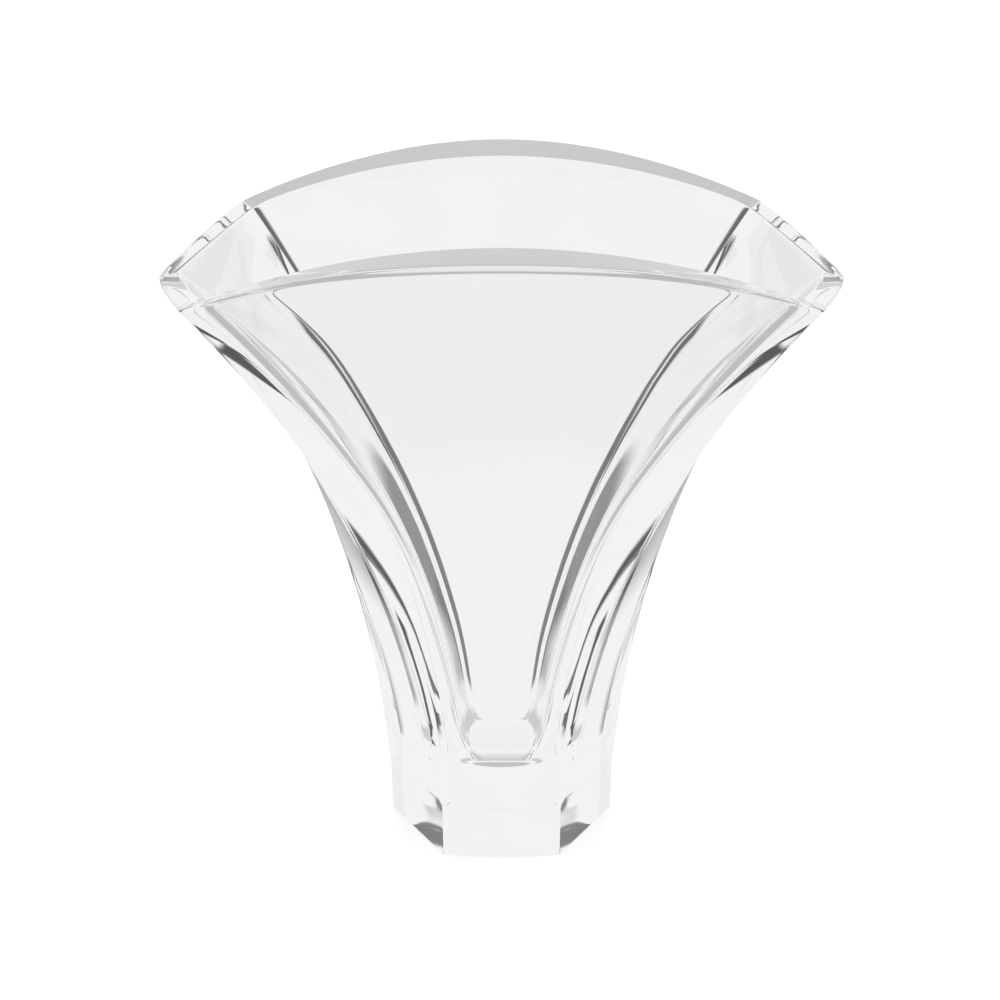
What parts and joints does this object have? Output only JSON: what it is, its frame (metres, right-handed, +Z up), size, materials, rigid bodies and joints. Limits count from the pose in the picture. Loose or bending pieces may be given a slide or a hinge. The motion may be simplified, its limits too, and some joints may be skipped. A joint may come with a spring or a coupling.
{
  "type": "fan vase",
  "caption": "Fan vase: a faceted vessel of thick clear crystal that flares from a small foot to a wide arched mouth, made to hold cut flowers in water.",
  "frame": {"origin": "middle of the flat underside of the foot", "axes": "+Z up, +X along the wide way of the fan, -Y towards the front"},
  "size_m": [0.2538, 0.164, 0.28],
  "materials": {
    "crystal": "clear thick crystal, polished all over, slight colour fringes at the cut edges"
  },
  "bodies": {
    "root": {"crystal_body": "crystal"}
  },
  "joints": []
}
